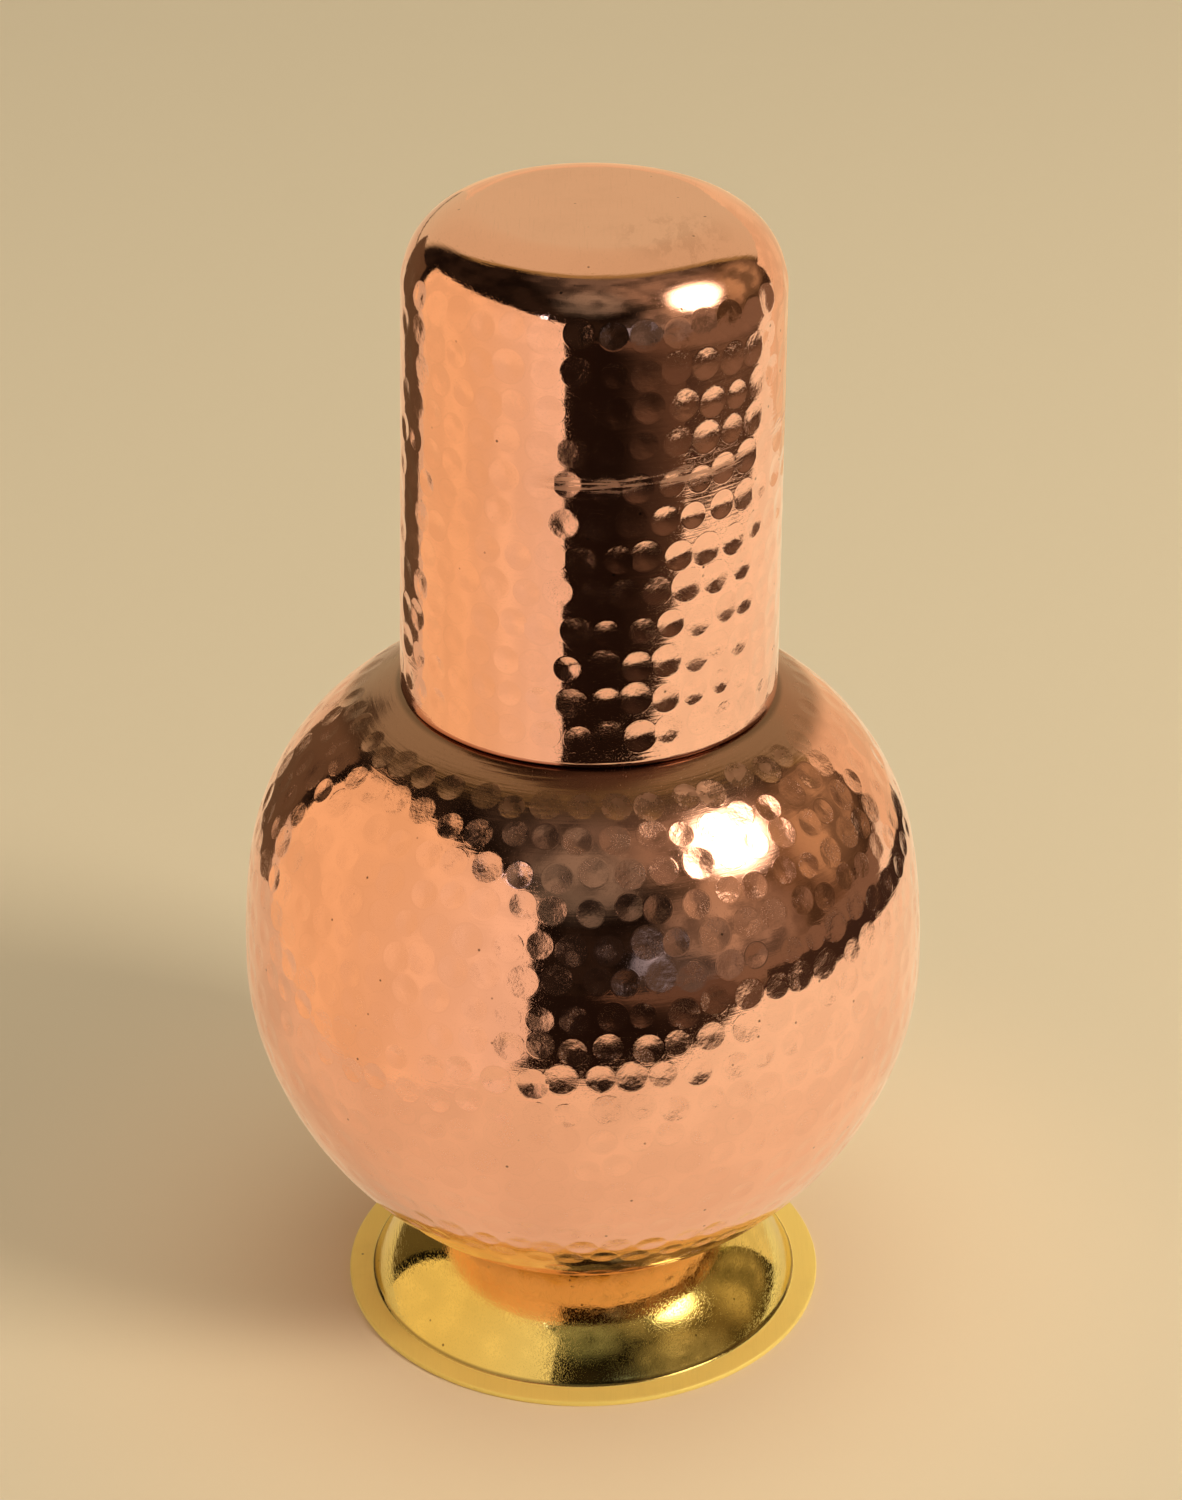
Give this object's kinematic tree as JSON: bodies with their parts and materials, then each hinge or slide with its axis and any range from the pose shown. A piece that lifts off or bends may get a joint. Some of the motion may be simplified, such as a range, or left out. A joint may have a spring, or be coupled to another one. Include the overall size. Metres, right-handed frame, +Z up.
{
  "type": "bedside water carafe with tumbler",
  "caption": "Hammered copper bedside water carafe: round belly, narrow rolled-lip neck, domed brass foot, and a loose drinking tumbler upside down over the neck.",
  "frame": {"origin": "middle of the foot's underside, on the floor, on the carafe's axis", "axes": "+Z up along the carafe's axis through the neck; the tumbler leans a little towards +X"},
  "size_m": [0.125, 0.125, 0.2178],
  "materials": {
    "hammered_copper": "copper, hammered all over and polished",
    "tumbler_copper": "copper, hammered in rows and polished",
    "plain_copper": "copper, smooth, fine turning lines",
    "wire": "copper wire, as drawn",
    "braze": "brazing filler, satin",
    "foot_brass": "spun and polished"
  },
  "bodies": {
    "carafe": {"upper_shell": "hammered_copper", "lower_shell": "hammered_copper", "neck": "plain_copper", "lip_wire": "wire", "neck_braze": "braze", "foot": "foot_brass", "foot_braze": "braze"},
    "tumbler": {"tumbler": "tumbler_copper"}
  },
  "joints": [
    {"name": "tumbler_lift", "type": "slide", "parent": "carafe", "child": "tumbler", "axis": [0, 0, 1], "range_m": [0, 0.12]}
  ]
}
